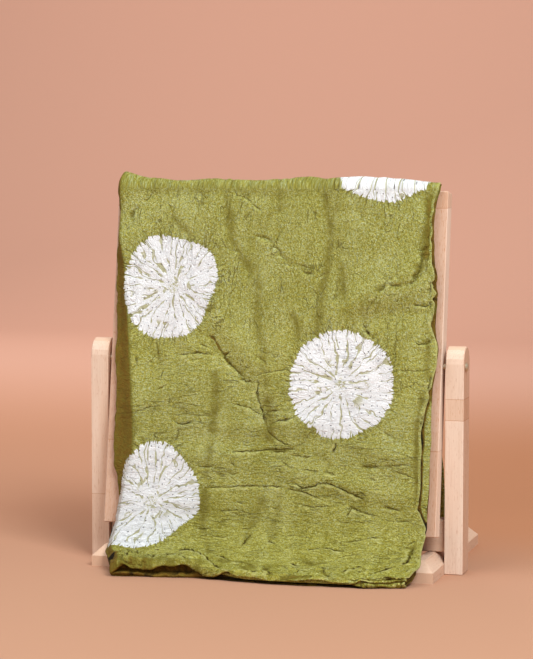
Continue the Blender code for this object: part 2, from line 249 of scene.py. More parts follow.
# down, crease, fold, right, stagger, in millimetres; down is below the board's top edge along
# the cloth, and negative on the back fall
OUTLINE = np.array((
    (-368, -146, -157, 158, 1), (-300, -146, -157, 156, 1), (-270, -146, -157, 151, 2),
    (-60, -152, -159, 148, 1), (-16, -156, -162, 150, 0), (-3, -156, -161, 158, 1),
    (10, -156, -160, 152.3, 1.7), (30, -156, -159, 151.3, 1.7), (47, -156, -160, 151.8, 1.7),
    (67, -151, -160, 152.8, 1.7), (86, -148.5, -160, 157, 2), (106, -147, -159, 157, 2),
    (120, -144.5, -158, 155.5, 2), (136, -142.5, -157, 156.8, 1.7), (146, -141.5, -157, 161.5, 0.5),
    (163, -140, -157, 161.5, -0.5), (182, -138, -156, 157.5, 0), (201, -136, -155, 153, 4),
    (221, -134, -155, 149, 8), (245, -132, -155, 149, 8.5), (259, -132, -154, 149.5, 8.5),
    (269, -134, -153, 149.5, 8.5), (279, -138, -149.5, 149.5, 8.5), (299, -140.5, -147, 149, 8),
    (309, -142, -147, 153.5, 4), (320, -143, -147.5, 158, -2), (341, -144, -151, 156.5, -3),
    (352, -144, -151, 155.5, -4), (363, -143, -151, 156.5, -5), (378, -134, -142, 158, -5),
    (388, -129, -137, 153.5, -2), (405, -123, -132, 147, 1)), float)
CREASE, FOLD, RIGHT, STAGGER = 1, 2, 3, 4
OUTLINE_SOFT = 4           # mm, how far the table's corners are rounded

# down, half-length, depth: where the outermost selvedge is drawn in, or stands out if below 0
NICKS = ((47, 2.5, 1.6), (88, 2.5, 3.2), (92.5, 2, 2.0), (103, 2.2, 2.6), (127, 4, 1.2),
         (190, 2.5, 2.0), (299, 2, 2.0), (325, 3, 1.2), (20, 2.5, -1.2), (97.5, 2, -1.5), (70, 3, 0.8))

# across, short: how far short of the bend's end the lower fold starts, in millimetres
LOWER_FOLD = np.array(((-150, -3), (-125, -3), (-95, 3), (-50, 9), (0, 1), (50, 0),
                       (115, 5), (150, 16)), float)

FOLDS = np.array((  # across, down, run, wide, turn, rise
    (-158, 2, 11, 16, 35, 6.0), (-138, -3, 22, 14, 0, 3.0), (-100, 0, 60, 16, 0, -2.4),
    (85, 0, 60, 18, 0, 1.2), (152, 2, 14, 16, -30, -3.0), (-148, 50, 22, 14, 50, 3.0),
    (20, 60, 70, 16, 78, 2.6),
    (-35, 90, 80, 15, 84, -1.8), (62, 70, 60, 14, 96, -1.6), (95, 105, 55, 13, 18, 3.4),
    (120, 118, 40, 11, 8, -2.2), (112, 84, 45, 12, 24, 2.0), (-50, 160, 45, 12, -48, -2.6),
    (-30, 150, 45, 12, -48, 2.4), (-8, 214, 30, 10, -75, -2.0), (-100, 196, 50, 16, 20, 2.0),
    (20, 226, 60, 11, 6, 2.8), (-40, 240, 70, 10, 4, -1.5), (-30, 258, 75, 11, -2, 1.9),
    (50, 262, 70, 9, -10, -1.8), (75, 276, 70, 12, -10, 2.0), (110, 246, 45, 10, -14, 2.6),
    (100, 300, 50, 10, -12, -2.2), (-60, 300, 80, 13, 2, 1.2), (0, 330, 90, 14, -4, -1.2),
    (60, 352, 80, 13, 5, 3.0), (-90, 352, 50, 12, -12, -2.4), (-128, 335, 30, 14, 60, 4.0),
    (128, 350, 34, 12, 55, -2.6), (110, 372, 50, 10, 18, 3.0), (-60, -120, 150, 26, 86, 4.0),
    (15, -150, 170, 24, 94, 3.2), (90, -130, 160, 28, 88, 4.4), (-115, -180, 140, 22, 92, 3.0),
    (55, -240, 120, 18, 90, -1.8)), float)
CREASE_SWELL = 0.25        # as a part, how much further apart the layers stand at the crease
CREASE_REACH = 16          # mm
CREASE_ROLL = 2.2          # mm, how far the outermost layer bulges there
CREASE_ROLL_REACH = 11     # mm
FOLD_PINCH = 0.42          # as a part, how much closer the layers lie at the fold
TOP_PRESS = 0.18           # and how much closer over the board's top
TOP_AT = -12               # mm below the board's front top edge
TOP_REACH = 30             # mm
SETTLE = 70                # mm, from each end of the board's face, where the cloth comes close to it


def smooth(k):
    k = np.clip(k, 0.0, 1.0)
    return k * k * (3 - 2 * k)


def guide_runs():
    """The innermost layer's line, a row for each run: its name, length and turn in degrees."""
    over = 90 - BOARD_TILT
    sweep = math.radians(over)
    radius = (LEAVE_HIGH + EDGE_CLEAR * math.sin(TILT)) / (1 - math.cos(sweep))
    return (("back", BACK_CORNER[1] - BACK_HEM_HIGH, 0), ("back_corner", EDGE_CLEAR * sweep, over),
            ("board_top", BOARD_THICK, 0), ("front_corner", EDGE_CLEAR * math.pi / 2, 90),
            ("face", (HEAD[1] - LEAVE_HIGH) / math.cos(TILT), 0),
            ("bend", radius * sweep, -over), ("floor", FLOOR_RUN, 0))


RUNS = guide_runs()
STARTS = {run[0]: sum(length for _, length, _ in RUNS[:i]) for i, run in enumerate(RUNS)}
FACE_LONG = (STARTS["bend"] - STARTS["face"]) / MM


def guide(at):
    """Y, Z and heading of the innermost layer's line at these lengths."""
    y = np.full(at.shape, BACK_CORNER[0] + EDGE_CLEAR)
    z = np.full(at.shape, BACK_HEM_HIGH)
    heading = np.full(at.shape, math.pi / 2)
    for name, length, turn in RUNS:
        step = np.clip(at - STARTS[name], 0, length)
        if turn:
            radius = length / math.radians(turn)
            after = heading + step / radius
            y += radius * (np.sin(after) - np.sin(heading))
            z += radius * (np.cos(heading) - np.cos(after))
            heading = after
        else:
            y += step * np.cos(heading)
            z += step * np.sin(heading)
    return y, z, heading


def softened(table, column, soft):
    """A table's column on a 1 mm ruler, with its corners rounded."""
    ruler = np.arange(table[0, 0], table[-1, 0] + 1)
    values = np.interp(ruler, table[:, 0], table[:, column])
    reach = np.arange(-3 * soft, 3 * soft + 1)
    weight = np.exp(-0.5 * (reach / soft) ** 2)
    padded = np.pad(values, 3 * soft, mode="edge")
    return ruler, np.convolve(padded, weight / weight.sum(), mode="valid")


def fold_rise(across, down):
    """How far the main folds lift the outermost layer, in millimetres."""
    total = np.zeros(across.shape)
    for x, d, run, wide, turn, rise in FOLDS:
        angle = math.radians(turn)
        p = ((across - x) * math.cos(angle) - (down - d) * math.sin(angle)) / run
        q = ((across - x) * math.sin(angle) + (down - d) * math.cos(angle)) / wide
        total += rise * np.exp(-p * p - q * q)
    return total


# ---- Cloth: its creases ----
# The cloth was wrung and dried in its ties, so it keeps hundreds of small creases. The main ones
# are placed one by one; each is a sharp tuck with a raised lip along its lower side.
# depth and wide in millimetres, then the points that it runs through: (across, down)
CREASES = (
    (1.0, 1.1, ((-55, -14), (-41, 5), (-30, 10), (-24, 16), (-18, 20), (-11, 25))),
    (1.2, 1.3, ((-21, 45), (-11, 48), (-2, 50))),
    (1.0, 1.2, ((-6, 55), (3, 58), (7, 65), (13, 70))),
    (1.1, 1.1, ((8, 71), (19, 76))),
    (0.8, 1.0, ((21, 72), (30, 74), (42, 77))),
    (1.1, 1.3, ((27, 78), (33, 81), (40, 81))),
    (0.7, 1.2, ((-64, 43), (-56, 48), (-48, 58), (-38, 61), (-30, 63))),
    (0.8, 1.1, ((-100, -12), (-100, 2), (-102, 14), (-104, 24), (-107, 35))),
    (1.0, 1.1, ((-124, -6), (-126, 6), (-130, 11), (-135, 14))),
    (1.5, 1.8, ((-137, 17), (-142, 22), (-144, 27), (-147, 34))),
    (0.6, 1.0, ((-71, -5), (-67, 2))),
    (0.6, 1.2, ((-75, 10), (-74, 18))),
    (1.0, 1.1, ((61, 86), (62, 100), (58, 108))),
    (1.5, 1.6, ((142, 57), (143, 70), (139, 80), (136, 87), (127, 91))),
    (0.8, 1.2, ((127, 91), (115, 91), (110, 91))),
    (0.9, 1.0, ((138, 56), (144, 57), (151, 57))),
    (1.5, 1.8, ((110, 89), (107, 95), (104, 98))),
    (0.8, 1.1, ((104, 98), (99, 107), (93, 113), (92, 120))),
    (0.8, 1.0, ((118, 74), (120, 82), (123, 88))),
    (1.1, 1.0, ((134, 108), (146, 110), (155, 108))),
    (1.2, 1.4, ((87, 126), (93, 135), (97, 141))),
    (0.6, 1.1, ((83, 20), (85, 29))),
    (0.6, 1.0, ((103, 14), (103, 23))),
    (0.6, 1.0, ((114, 16), (115, 27))),
    (0.8, 1.0, ((38, -7), (41, -19))),
    (0.5, 0.9, ((-128, 41), (-115, 40), (-101, 39))),
    (0.9, 1.2, ((-135, 44), (-128, 46))),
    (0.6, 1.0, ((-72, 32), (-67, 39), (-61, 46))),
    (0.6, 1.0, ((-110, 14), (-105, 21))),
    (0.6, 1.0, ((29, 104), (35, 107))),
    (0.7, 1.1, ((40, 86), (46, 83), (54, 79))),
    (1.3, 1.2, ((-66, 143), (-59, 144), (-53, 153), (-48, 160), (-42, 168), (-31, 177), (-25, 182))),
    (1.3, 1.3, ((-50, 161), (-45, 160), (-41, 158))),
    (1.1, 1.0, ((-31, 182), (-23, 185), (-17, 185))),
    (1.5, 1.2, ((-12, 181), (-12, 192), (-11, 200), (-7, 211), (-4, 220), (-2, 228))),
    (1.4, 1.2, ((-2, 228), (2, 234), (13, 241), (26, 245))),
    (1.2, 1.1, ((-6, 215), (2, 213), (13, 212))),
    (1.3, 1.1, ((0, 227), (7, 223), (17, 221), (28, 218))),
    (1.0, 0.9, ((-38, 207), (-23, 209), (-14, 213), (-7, 216))),
    (1.3, 1.1, ((-36, 254), (-19, 251), (-6, 250), (8, 249), (20, 248), (30, 248))),
    (1.2, 1.1, ((1, 251), (10, 251), (20, 251))),
    (0.6, 0.9, ((24, 246), (31, 244), (39, 241))),
    (1.2, 1.3, ((67, 238), (67, 244), (65, 250))),
    (0.7, 0.9, ((22, 253), (34, 255), (48, 254))),
    (1.0, 1.1, ((-115, 147), (-114, 156), (-112, 166))),
    (0.9, 0.9, ((-107, 177), (-108, 185))),
    (0.7, 0.9, ((-101, 189), (-106, 193), (-111, 196))),
    (0.8, 0.9, ((-101, 197), (-99, 204), (-100, 212))),
    (1.2, 1.0, ((-95, 225), (-87, 228), (-77, 226), (-73, 224))),
    (0.7, 0.9, ((-89, 231), (-90, 240), (-94, 249))),
    (0.7, 0.9, ((-134, 219), (-126, 216), (-119, 213), (-105, 212))),
    (0.8, 1.3, ((-134, 164), (-133, 174))),
    (0.9, 0.9, ((-98, 160), (-88, 162), (-72, 159), (-52, 161))),
    (0.7, 0.9, ((-72, 150), (-63, 153))),
    (0.7, 1.1, ((-17, 158), (-7, 165), (-3, 171))),
    (0.6, 0.9, ((-12, 178), (5, 175), (22, 171))),
    (1.0, 1.1, ((143, 142), (149, 146), (156, 142))),
    (0.7, 0.9, ((143, 137), (153, 135))),
    (0.6, 0.9, ((120, 170), (141, 171), (156, 169))),
    (0.8, 1.3, ((112, 228), (120, 233))),
    (1.2, 1.1, ((-69, 268), (-58, 268), (-50, 266))),
    (1.1, 0.9, ((-61, 287), (-51, 287), (-31, 286), (-12, 284), (0, 284), (12, 284), (22, 284))),
    (0.7, 0.9, ((-59, 284), (-56, 283), (-48, 282))),
    (1.6, 1.2, ((23, 278), (32, 282), (39, 284), (50, 281), (55, 279), (65, 280), (75, 284), (82, 287),
                (91, 290), (98, 293))),
    (0.9, 0.9, ((88, 286), (94, 287), (100, 290))),
    (1.2, 1.0, ((20, 285), (32, 287), (42, 289), (50, 292), (57, 294))),
    (0.7, 0.9, ((27, 298), (38, 300), (52, 301), (69, 300))),
    (1.0, 1.1, ((80, 309), (84, 303), (86, 298))),
    (1.3, 1.0, ((80, 298), (88, 302), (98, 305), (112, 308))),
    (1.3, 1.1, ((115, 297), (123, 300), (133, 301))),
    (0.6, 0.9, ((112, 311), (127, 312), (146, 311))),
    (1.3, 1.3, ((92, 262), (102, 262), (112, 261))),
    (0.9, 1.0, ((112, 261), (123, 260), (133, 259), (141, 258))),
    (0.7, 0.9, ((123, 264), (135, 268), (149, 273))),
    (1.5, 1.5, ((57, 267), (64, 270), (68, 271))),
    (0.6, 0.9, ((33, 267), (49, 268), (58, 267))),
    (0.7, 1.0, ((15, 259), (23, 265), (31, 267))),
    (1.0, 1.2, ((-36, 258), (-34, 263), (-31, 267))),
    (1.1, 0.8, ((-44, 310), (-36, 309), (-25, 308))),
    (1.2, 0.8, ((-68, 331), (-59, 330), (-50, 329))),
    (0.9, 0.9, ((-90, 336), (-82, 335))),
    (-0.8, 0.9, ((1, 286), (1, 297), (2, 317))),
    (1.1, 1.2, ((-9, 332), (-15, 342), (-17, 352))),
    (1.2, 1.6, ((7, 340), (15, 344))),
    (0.8, 0.9, ((24, 338), (25, 334), (34, 333), (50, 335))),
    (1.0, 0.9, ((81, 339), (91, 337), (99, 335), (108, 331), (116, 332))),
    (1.3, 1.1, ((46, 353), (57, 349), (66, 348), (75, 351), (84, 351))),
    (0.9, 0.9, ((75, 364), (83, 359), (92, 355), (103, 353))),
    (1.3, 1.3, ((33, 369), (42, 373), (47, 373))),
    (2.0, 1.2, ((32, 406), (41, 402), (46, 383), (55, 380), (62, 378), (71, 381))),
    (1.8, 1.3, ((68, 381), (73, 391), (81, 400))),
    (1.2, 1.3, ((58, 393), (62, 405))),
    (0.8, 1.0, ((-115, 396), (-106, 385), (-94, 376), (-82, 371), (-76, 362))),
    (2.4, 1.4, ((-79, 362), (-73, 356), (-63, 359), (-53, 367), (-45, 376), (-37, 387), (-28, 393),
                (-17, 399), (-11, 389))),
    (1.3, 1.1, ((-110, 406), (-100, 405), (-95, 404))),
    (1.6, 1.2, ((-42, 364), (-29, 370), (-20, 375), (-9, 379), (-3, 380), (2, 379))),
    (0.9, 1.1, ((-13, 401), (-12, 387), (-9, 379))),
    (1.3, 1.3, ((4, 404), (11, 400))),
    (1.6, 2.0, ((10, 388), (18, 397), (25, 405))),
    (2.0, 1.8, ((147, 339), (146, 350), (145, 361), (141, 370))),
    (0.8, 1.0, ((139, 339), (144, 335), (150, 332))),
    (1.4, 1.2, ((101, 381), (110, 381))),
    (1.6, 1.2, ((100, 405), (107, 398), (114, 384), (125, 376), (137, 371))),
    (0.7, 0.9, ((-23, 327), (-13, 327), (-5, 323))),
    (0.7, 0.9, ((-43, 270), (-33, 274), (-25, 272))),
    (0.8, 0.9, ((71, 313), (80, 316), (86, 315))),
    (0.7, 0.9, ((-49, 338), (-38, 339), (-31, 336))),
    (0.6, 0.9, ((36, 315), (46, 318), (57, 317))),
    (0.6, 0.9, ((105, 283), (112, 282))),
    (0.8, 1.2, ((100, 272), (108, 274))),
    (0.7, 1.0, ((-28, 300), (-20, 302))),
    (-1.6, 1.6, ((102, 394), (111, 380), (123, 372))),
    (2.6, 1.4, ((105, 403), (115, 398), (127, 394), (138, 392), (145, 389))),
    (2.0, 1.2, ((106, 406), (114, 408), (125, 401))),
    (1.3, 1.1, ((145, 378), (149, 372), (152, 370))),
    (2.0, 1.4, ((136, 395), (142, 392), (145, 397), (141, 399))),
    (1.5, 1.1, ((-126, 395), (-113, 399), (-100, 397), (-91, 378), (-76, 373), (-59, 386))),
    (1.8, 1.3, ((-137, 388), (-128, 400), (-119, 407), (-113, 407), (-103, 405))),
    (0.9, 1.0, ((46, 381), (57, 378), (71, 381), (84, 385))),
    (1.5, 1.3, ((-13, 392), (1, 400), (9, 395), (19, 387))),
    (1.3, 1.2, ((9, 380), (22, 391), (35, 404))),
    (1.2, 1.1, ((86, 387), (96, 379), (106, 372))),
    (1.2, 1.0, ((-129, 363), (-123, 377), (-118, 401))),
    (1.2, 1.0, ((-119, 362), (-114, 377))),
    (1.1, 1.0, ((-134, 369), (-126, 389))),
    (2.0, 1.2, ((150, 25), (150, 36), (148, 47), (150, 54))),
    (1.8, 1.0, ((137, 56), (143, 57), (148, 54), (151, 51))),
    (1.6, 1.2, ((151, 59), (148, 68), (147, 80))),
    (1.4, 1.0, ((142, 59), (142, 68), (140, 78))),
    (1.5, 1.0, ((143, 21), (148, 26), (151, 28))),
    (2.4, 1.4, ((153, 86), (152, 93), (151, 99))),
    (2.4, 1.4, ((151, 105), (153, 107), (152, 112))),
    (1.8, 1.2, ((154, 115), (155, 120), (156, 130))),
    (1.6, 1.0, ((138, 142), (143, 146), (152, 144), (156, 140))),
    (1.5, 1.2, ((156, 173), (155, 182), (153, 190))),
    (2.0, 1.2, ((151, 209), (149, 216), (148, 224))),
    (2.2, 1.2, ((-79, 399), (-73, 392), (-63, 395))),
    (1.9, 1.0, ((-111, 404), (-105, 395), (-98, 383), (-84, 379), (-71, 376))),
)
# wider, softer troughs, where the cloth was folded while it was dyed; painted shade darkens them
FURROWS = (
    (1.5, 3.4, ((-52, -3), (-57, -12), (-49, 13), (-47, 25), (-46, 36), (-43, 50), (-37, 61), (-29, 73),
                (-19, 84))),
    (0.9, 2.6, ((-69, 46), (-60, 54), (-49, 62))),
    (1.2, 4.0, ((-21, 71), (-17, 86), (-15, 101), (-16, 117), (-14, 132), (-10, 147), (-7, 162), (-6, 178),
                (-3, 195))),
    (0.8, 3.0, ((-5, 7), (-6, 25), (-14, 42), (-26, 55))),
    (1.7, 5.0, ((-1, 195), (0, 208), (2, 221), (1, 234), (3, 246))),
    (1.3, 3.2, ((-1, -3), (-1, -6), (3, 15), (2, 28))),
    (0.9, 2.6, ((6, -12), (12, 5), (14, 14))),
    (1.5, 3.6, ((36, -19), (48, 7), (50, 20), (53, 33), (54, 49), (52, 64), (51, 77), (49, 92), (48, 108),
                (46, 125), (45, 140))),
    (1.0, 3.0, ((60, 7), (58, 20), (55, 32))),
    (1.4, 4.2, ((65, 67), (66, 79), (67, 90), (69, 102), (69, 111))),
    (0.9, 3.0, ((57, 45), (63, 54), (63, 66))),
    (2.6, 4.4, ((147, 2), (148, 15), (149, 31), (147, 46), (147, 59), (145, 69))),
    (1.7, 2.8, ((145, 65), (141, 76), (134, 85))),
    (1.5, 3.2, ((149, 136), (152, 149), (153, 160), (152, 173), (154, 184))),
    (1.3, 2.6, ((-109, 24), (-99, 33), (-91, 42), (-80, 50))),
    (0.9, 2.6, ((-136, -18), (-130, 6), (-134, 16))),
    (1.6, 2.4, ((-142, 19), (-145, 25), (-148, 31))),
    (1.3, 2.4, ((-65, 125), (-62, 116), (-55, 110))),
    (1.5, 2.8, ((17, 114), (22, 125), (25, 137), (27, 148))),
    (1.5, 4.2, ((-56, 173), (-53, 187), (-53, 200), (-53, 213), (-55, 227), (-56, 240))),
    (1.3, 3.6, ((-57, 242), (-57, 256), (-59, 271), (-58, 284))),
    (1.6, 4.4, ((-60, 284), (-59, 296), (-59, 309), (-60, 322), (-56, 338))),
    (1.0, 3.2, ((-58, 331), (-52, 348), (-45, 368))),
    (1.1, 4.6, ((0, 289), (-5, 303), (-10, 317), (-14, 330), (-15, 349))),
    (0.95, 3.8, ((11, 286), (14, 300), (12, 314), (10, 327), (11, 344))),
    (1.1, 3.0, ((-114, 152), (-113, 165), (-109, 177))),
    (1.0, 3.0, ((-99, 159), (-89, 157), (-79, 158), (-74, 168))),
    (1.0, 3.0, ((-133, 220), (-131, 232), (-128, 243))),
    (1.4, 2.2, ((-5, 248), (5, 250), (17, 249), (28, 247))),
    (1.1, 2.4, ((43, 249), (52, 254), (61, 259), (67, 268))),
    (1.3, 2.4, ((89, 263), (98, 262), (108, 262))),
    (0.9, 2.4, ((115, 227), (125, 234), (133, 235))),
    (1.0, 2.6, ((81, 298), (91, 299), (101, 302))),
    (1.8, 2.6, ((149, 333), (147, 343), (145, 354))),
    (1.3, 2.4, ((-38, 376), (-28, 377), (-17, 374), (-7, 377), (6, 389))),
    (1.5, 2.4, ((-12, 381), (4, 396), (12, 391), (18, 377))),
    (1.6, 2.0, ((29, 406), (41, 406), (52, 404), (63, 405))),
    (1.5, 1.8, ((64, 383), (72, 392), (81, 400))),
    (1.2, 2.4, ((43, 366), (56, 370), (69, 368))),
    (1.4, 3.2, ((-137, 387), (-121, 408), (-112, 407), (-102, 404))),
    (1.0, 2.6, ((-96, 396), (-85, 385), (-71, 387))),
    (1.1, 2.6, ((-92, 205), (-86, 214), (-76, 220))),
    (0.8, 3.0, ((77, 7), (82, 20), (88, 31))),
    (0.8, 2.8, ((28, 38), (34, 53), (31, 70))),
    (0.8, 2.2, ((-24, 44), (-14, 48), (-3, 52), (5, 61), (14, 69), (26, 75), (38, 79))),
    (1.2, 2.4, ((-64, 141), (-58, 150), (-49, 160), (-41, 169), (-30, 177), (-20, 186))),
    (2.0, 2.8, ((147, 188), (147, 201), (145, 216), (145, 235), (146, 263), (148, 302))),
    (1.1, 2.6, ((-38, 1), (-30, 7), (-25, 15))),
    (1.0, 2.6, ((-125, 26), (-121, 35))),
    (1.0, 2.4, ((136, 84), (124, 89), (111, 93))),
    (1.6, 2.4, ((112, 90), (105, 94), (99, 100))),
    (0.9, 2.6, ((101, 99), (92, 106), (88, 116), (91, 125), (98, 135))),
)
TUCK_LIP = 0.8             # the lip's rise, as a part of the tuck's depth
TUCK_RELIEF = 0.8          # how much of a tuck's depth the mesh shows
TUCK_DEEPEST = 1.5         # mm; a deeper tuck only gets more painted shade
TUCK_FADE = 9              # mm, over which a tuck or furrow fades at its ends
FURROW_SPREAD = 1.35       # a furrow's own width, as a part of its row's
LINE_REACH = 14            # mm, how far from its line a tuck or furrow is felt
FAR = 99.0                 # in a tuck's widths, where there is none
FAR_OFFSET = 20.0          # and in its uneven widths


def through_points(points, step=2.0):
    """A smooth line through these points, about a step apart."""
    points = np.array(points, float)
    ends = np.vstack((2 * points[0] - points[1], points, 2 * points[-1] - points[-2]))
    line = []
    for a, b, c, d in zip(ends, ends[1:], ends[2:], ends[3:]):
        count = max(2, round(np.linalg.norm(c - b) / step))
        for k in np.linspace(0, 1, count, endpoint=False):
            line.append(0.5 * (2 * b + (c - a) * k + (2 * a - 5 * b + 4 * c - d) * k ** 2
                               + (3 * b - 3 * c + d - a) * k ** 3))
    return np.vstack((line, points[-1]))


def bumps(x, y, z):
    """Smooth noise between about -1 and 1 at these places."""
    places = zip(*(np.broadcast_to(part, x.shape) for part in (x, y, z)))
    return np.array([noise.noise(Vector(place)) for place in places])


def rough(u, v, size, seed):
    """Noise over the cloth, its bumps this many millimetres wide."""
    return bumps(u / size, v / size, seed)


def ripple(x, size, seed):
    """Noise along a line."""
    return bumps(x / size, 0.37, seed)


def beside(points, across, down):
    """The places near the line through these points: which they are, how far each is from the
    line, on which side, how far along it, and the line's length."""
    line = through_points(points)
    low, high = line.min(0) - LINE_REACH, line.max(0) + LINE_REACH
    near = np.flatnonzero((across > low[0]) & (across < high[0]) & (down > low[1]) & (down < high[1]))
    here = np.stack((across[near], down[near]), 1)
    run = line[1:] - line[:-1]
    long = np.linalg.norm(run, axis=1)
    ahead = (run / long[:, None])[None]
    held = np.clip(((here[:, None] - line[None, :-1]) * ahead).sum(2), 0, long)
    away = np.linalg.norm(here[:, None] - (line[None, :-1] + held[..., None] * ahead), axis=2)
    best = away.argmin(1)
    rows = np.arange(len(near))
    over = here - line[best]
    side = np.sign(run[best, 0] * over[:, 1] - run[best, 1] * over[:, 0])
    travelled = np.concatenate(((0,), np.cumsum(long)))[best] + held[rows, best]
    return near, away[rows, best], side, travelled, long.sum()


def wandered(across, down, by):
    """These places moved about a little, so that no crease runs quite straight."""
    return (across + by * (0.7 * rough(across, down, 6, 2.1) + 1.3 * rough(across, down, 21, 6.4)),
            down + by * (0.7 * rough(across, down, 6, 9.6) + 1.3 * rough(across, down, 21, 4.2)))


def tucks(across, down):
    """The creases' relief in millimetres, and for the finish how far each place is from the
    middle of its nearest tuck, in that tuck's own uneven widths, how much painted shade the tuck
    gives there, and how near it is in its plain widths."""
    relief = np.zeros(across.shape)
    nearest = np.full(across.shape, FAR)
    offset = np.full(across.shape, FAR_OFFSET)
    tuck_shade = np.zeros(across.shape)
    kinks = 0.7 * rough(across, down, 3.5, 8.8)
    # they are fainter near the board's top
    faint = 0.5 + 0.5 * smooth((down - 30) / 110)
    across, down = wandered(across, down, 0.7)
    for number, (depth, wide, points) in enumerate(CREASES):
        near, gap, side, travelled, length = beside(points, across, down)
        to_end = np.minimum(travelled, length - travelled)
        strength = (smooth(to_end / min(TUCK_FADE, length / 3) + 0.1)
                    * (0.9 + 0.6 * ripple(travelled, 7, number * 1.7)))
        own_wide = wide * (1 + 0.7 * ripple(travelled, 5, number * 2.3 + 0.5))
        signed = side * gap / own_wide + kinks[near]
        section = (TUCK_LIP * np.exp(-((signed - 2.5) / 1.8) ** 2)
                   + 0.3 * np.exp(-((signed + 2.6) / 1.8) ** 2) - np.exp(-signed ** 2))
        relief[near] += TUCK_RELIEF * min(depth, TUCK_DEEPEST) * strength * section
        drawn = (np.clip(strength * (0.1 + 0.8 * depth), 0, 1.2) * faint[near]
                 * smooth((3.4 - np.abs(signed)) / 1.2))
        closer = gap / wide < nearest[near]
        kept = near[closer]
        nearest[kept] = (gap / wide)[closer]
        offset[kept] = signed[closer]
        tuck_shade[kept] = drawn[closer]
    return relief, offset, tuck_shade, nearest


def furrows(across, down):
    """How deep in a soft furrow these places lie, in millimetres."""
    total = np.zeros(across.shape)
    across, down = wandered(across, down, 1.0)
    for number, (depth, wide, points) in enumerate(FURROWS):
        near, gap, side, travelled, length = beside(points, across, down)
        strength = (smooth(np.minimum(travelled, length - travelled) / TUCK_FADE + 0.2)
                    * (1 + 0.25 * ripple(travelled, 9, number * 3.1)))
        own_wide = FURROW_SPREAD * wide * (1 + 0.45 * ripple(travelled + 5 * side, 9, number * 1.3))
        total[near] = np.maximum(total[near], depth * strength * np.exp(-(gap / own_wide) ** 2))
    return total


# ---- Cloth: the tied roundels ----
# Each was gathered to a point, stitched through and bound before dyeing, so the dye kept off it
# but crept in along the pleats. across, down, in millimetres on the flat cloth, and its radius.
ROUNDELS = np.array((
    (-100, 96, 50), (70, 185, 52.5), (-112, 303, 51), (104, -38, 51),
    (-106, -122, 50), (86, -232, 51), (-98, -322, 49), (-245, 10, 50), (-252, 214, 49),
    (-240, -196, 50), (-398, 96, 50), (-394, -110, 50), (-390, 305, 45), (-90, 530, 50),
    (72, 620, 50), (-100, 735, 50), (75, 825, 50), (-94, 940, 50), (-250, 640, 50),
    (-245, 850, 50), (-395, 750, 50)), float)

# which roundel, toward which side in degrees, and how much further its rim reaches there
PULLS = ((2, 130, 0.4), (2, 45, -0.18), (2, -88, 0.12), (2, 195, -0.34), (2, -5, -0.03),
         (0, -125, 0.11), (0, -78, -0.07), (0, -38, 0.04), (0, 22, -0.18), (0, 125, 0.08),
         (3, 25, 0.11), (3, 155, 0.1))


def nearest_roundel(u, v, number=None):
    """For each place on the flat cloth: where it lies from the nearest roundel's middle, as if
    that roundel had a radius of 50 mm, and which one it is. number: the ones to go by."""
    if number is None:
        number = np.hypot(u[:, None] - ROUNDELS[:, 0], v[:, None] - ROUNDELS[:, 1]).argmin(1)
    x, y, radius = ROUNDELS[number].T
    side = np.arctan2(v - y, u - x)
    for pulled, toward, more in PULLS:
        reach = np.maximum(np.cos(side - math.radians(toward)), 0) ** 5
        radius = radius * (1 + np.where(number == pulled, more * reach, 0))
    return np.stack(((u - x) * 50 / radius, (v - y) * 50 / radius, number), 1)


# ---- Cloth: the sheet ----
# u goes round the lengthwise fold from the front selvedge, v round the crosswise fold from the
# outer back hem. The counts are of the coarse cells; those that show are cut finer.
U_SECTIONS = (("over", 27), ("strip", 2), ("turn", 2), ("under", 15))
V_SECTIONS = (("back", 20), ("top", 6), ("front", 30), ("bend", 10), ("turn", 8),
              ("bend_in", 8), ("front_in", 12), ("top_in", 6), ("back_in", 12))
TUCK_CUT = 2.1             # in a tuck's widths, how near to it the cells are cut once more
MID_LAYER = SHEET / 2 + 1.5 * LAYER
STAGGER_STEP = 3.6         # the inner selvedges are fully out 1/3.6 of the way to the innermost
LIP_LEFT = -95             # mm, the middle of the stretch where the lower fold gapes
LIP_REACH = 62
LIP_RISE = 7.5             # mm, how much taller the fold is there
# a patch of painted shade beside the lip, in place of a real hollow: across, down, half wide, half long
POCKET = (-138, 386, 6.5, 9)
# grooves in the roll at the right: their place round its turn, in radians, and their slope
RAGGED = ((0.75, 0.004), (-0.1, -0.003))
RAGGED_DEEP = 5.5          # mm
RAGGED_WIDE = 0.2          # radians
LOW_DOWN = 200             # mm, below which the shade on the inner layers is even and deep
# across, in, high: how far the gap under the foremost edge goes in, and how high above the floor
# its upper edge is, in millimetres
GAP = np.array((
    (-152, 4, 2), (-134, 7, 2.5), (-127, 9, 7), (-118, 9, 11), (-110, 9, 9), (-101, 9, 6), (-93, 9, 7.5),
    (-81, 9, 11), (-69, 9, 13), (-59, 9, 11.5), (-51, 8, 6.5), (-44, 7, 3.5), (-32, 6, 3.5), (-18, 6, 6.5),
    (-10, 6, 5.5), (-3, 6, 5), (15, 7, 5), (32, 7, 6), (60, 7, 6.5), (85, 6, 5), (100, 5, 4),
    (114, 3, 2), (124, 0, 0), (150, 0, 0)), float)


def section_of(sections, index):
    """Which section these grid lines lie in, and how far through it, from 0 to 1."""
    counts = np.array([count for _, count in sections])
    ends = np.cumsum(counts)
    number = np.clip(np.searchsorted(ends, index - 1e-6), 0, len(counts) - 1)
    return number, (index - (ends - counts)[number]) / counts[number]


